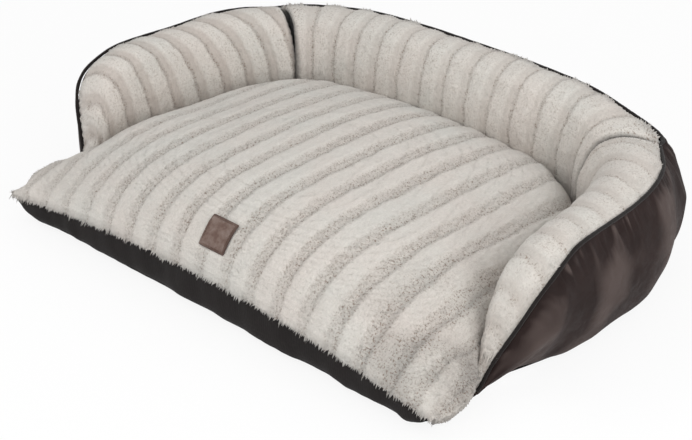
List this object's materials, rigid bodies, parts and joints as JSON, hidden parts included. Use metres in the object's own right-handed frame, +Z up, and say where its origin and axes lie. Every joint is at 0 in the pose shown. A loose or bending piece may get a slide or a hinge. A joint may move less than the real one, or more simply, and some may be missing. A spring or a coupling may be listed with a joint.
{
  "type": "dog sofa bed",
  "caption": "Low sofa-shaped pet bed: crowned ribbed plush cushion with plush arms and back, dark suede outer panels, thin piping, small leather patch and a zip low at the back",
  "frame": {"origin": "centre of the bounding box's bottom face, on the floor", "axes": "+X to the bed's right side seen from its front, +Y from the front edge to the back, +Z up"},
  "size_m": [0.996, 0.6865, 0.2426],
  "materials": {
    "plush": "ivory and taupe ribbed faux fur, matt",
    "suede": "dark brown brushed suede, faint sheen",
    "base_cloth": "near-black smooth cloth",
    "piping": "dark brown corded edge",
    "filling": "white polyester fibre",
    "patch_leather": "mid-brown leather with darker edges",
    "thread": "dark brown thread",
    "zip_tape": "black woven tape",
    "zip_teeth": "black nylon",
    "zip_metal": "dark painted metal, half gloss"
  },
  "bodies": {
    "bed": {"seat_top_panel": "plush", "seat_base_panel": "base_cloth", "seat_filling": "filling", "label_patch": "patch_leather", "patch_stitching": "thread", "left_arm_inner_panel": "plush", "left_arm_outer_panel": "suede", "left_arm_base": "base_cloth", "left_arm_filling": "filling", "left_arm_piping": "piping", "right_arm_inner_panel": "plush", "right_arm_outer_panel": "suede", "right_arm_base": "base_cloth", "right_arm_filling": "filling", "right_arm_piping": "piping", "back_inner_panel": "plush", "back_outer_panel": "suede", "back_hem_panel": "suede", "back_base": "base_cloth", "back_filling": "filling", "back_piping": "piping", "zip_upper_tape": "zip_tape", "zip_lower_tape": "zip_tape", "zip_teeth": "zip_teeth", "zip_left_stop": "zip_metal", "zip_right_stop": "zip_metal"},
    "zip_slider": {"zip_slider": "zip_metal"},
    "zip_pull": {"zip_pull": "zip_metal"}
  },
  "joints": [
    {"name": "zip_slide", "type": "slide", "parent": "bed", "child": "zip_slider", "axis": [-1, 0, 0], "range_m": [0, 0.3394]},
    {"name": "zip_pull_swing", "type": "hinge", "parent": "zip_slider", "child": "zip_pull", "pos_m": [0.1697, 0.32422, 0.0245], "axis": [0, 0, 1], "range_deg": [0, 170]}
  ]
}
